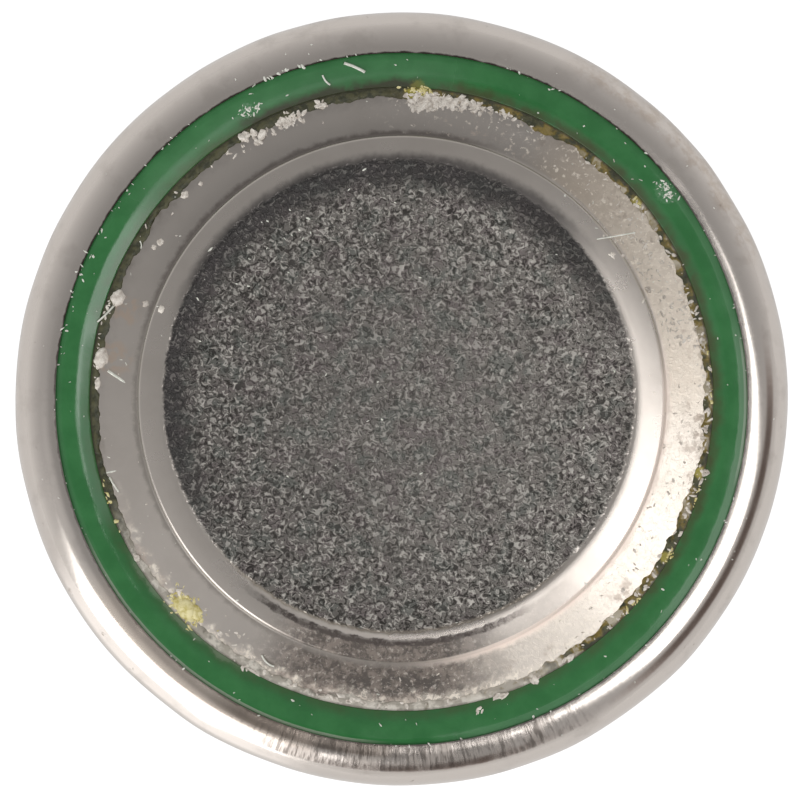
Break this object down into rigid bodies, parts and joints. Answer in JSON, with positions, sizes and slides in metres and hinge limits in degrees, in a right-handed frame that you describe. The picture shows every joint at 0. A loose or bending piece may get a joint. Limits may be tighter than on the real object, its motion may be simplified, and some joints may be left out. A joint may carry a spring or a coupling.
{
  "type": "button cell battery",
  "caption": "Round crimped button cell: steel can, sealing gasket and stepped cap round sealed inner layers; flat contact face on each end.",
  "frame": {"origin": "centre of the can's flat base, the positive contact face", "axes": "+Z along the cell's axis, from the positive base to the negative cap"},
  "size_m": [0.0116, 0.0116, 0.0054],
  "materials": {
    "can_nickel": "nickel-plated steel, soft satin with fine draw lines at the crimp",
    "cap_nickel": "nickel-plated steel, satin shoulder and a stippled contact disc",
    "green_nylon": "moulded nylon, smooth and slightly glossy",
    "dried_sealant": "dried sealant, olive brown, uneven",
    "cathode_mix": "pressed manganese dioxide and graphite powder, matte",
    "ring_steel": "nickel-plated steel strip",
    "cellulose_film": "thin translucent cellulose film",
    "felt_pad": "non-woven absorbent felt",
    "zinc_gel": "zinc powder in gel, dull grey"
  },
  "bodies": {
    "root": {"can": "can_nickel", "cap": "cap_nickel", "gasket": "green_nylon", "sealant_bead": "dried_sealant", "cathode_pellet": "cathode_mix", "pellet_ring": "ring_steel", "barrier_film": "cellulose_film", "absorbent_pad": "felt_pad", "anode_gel": "zinc_gel"}
  },
  "joints": []
}
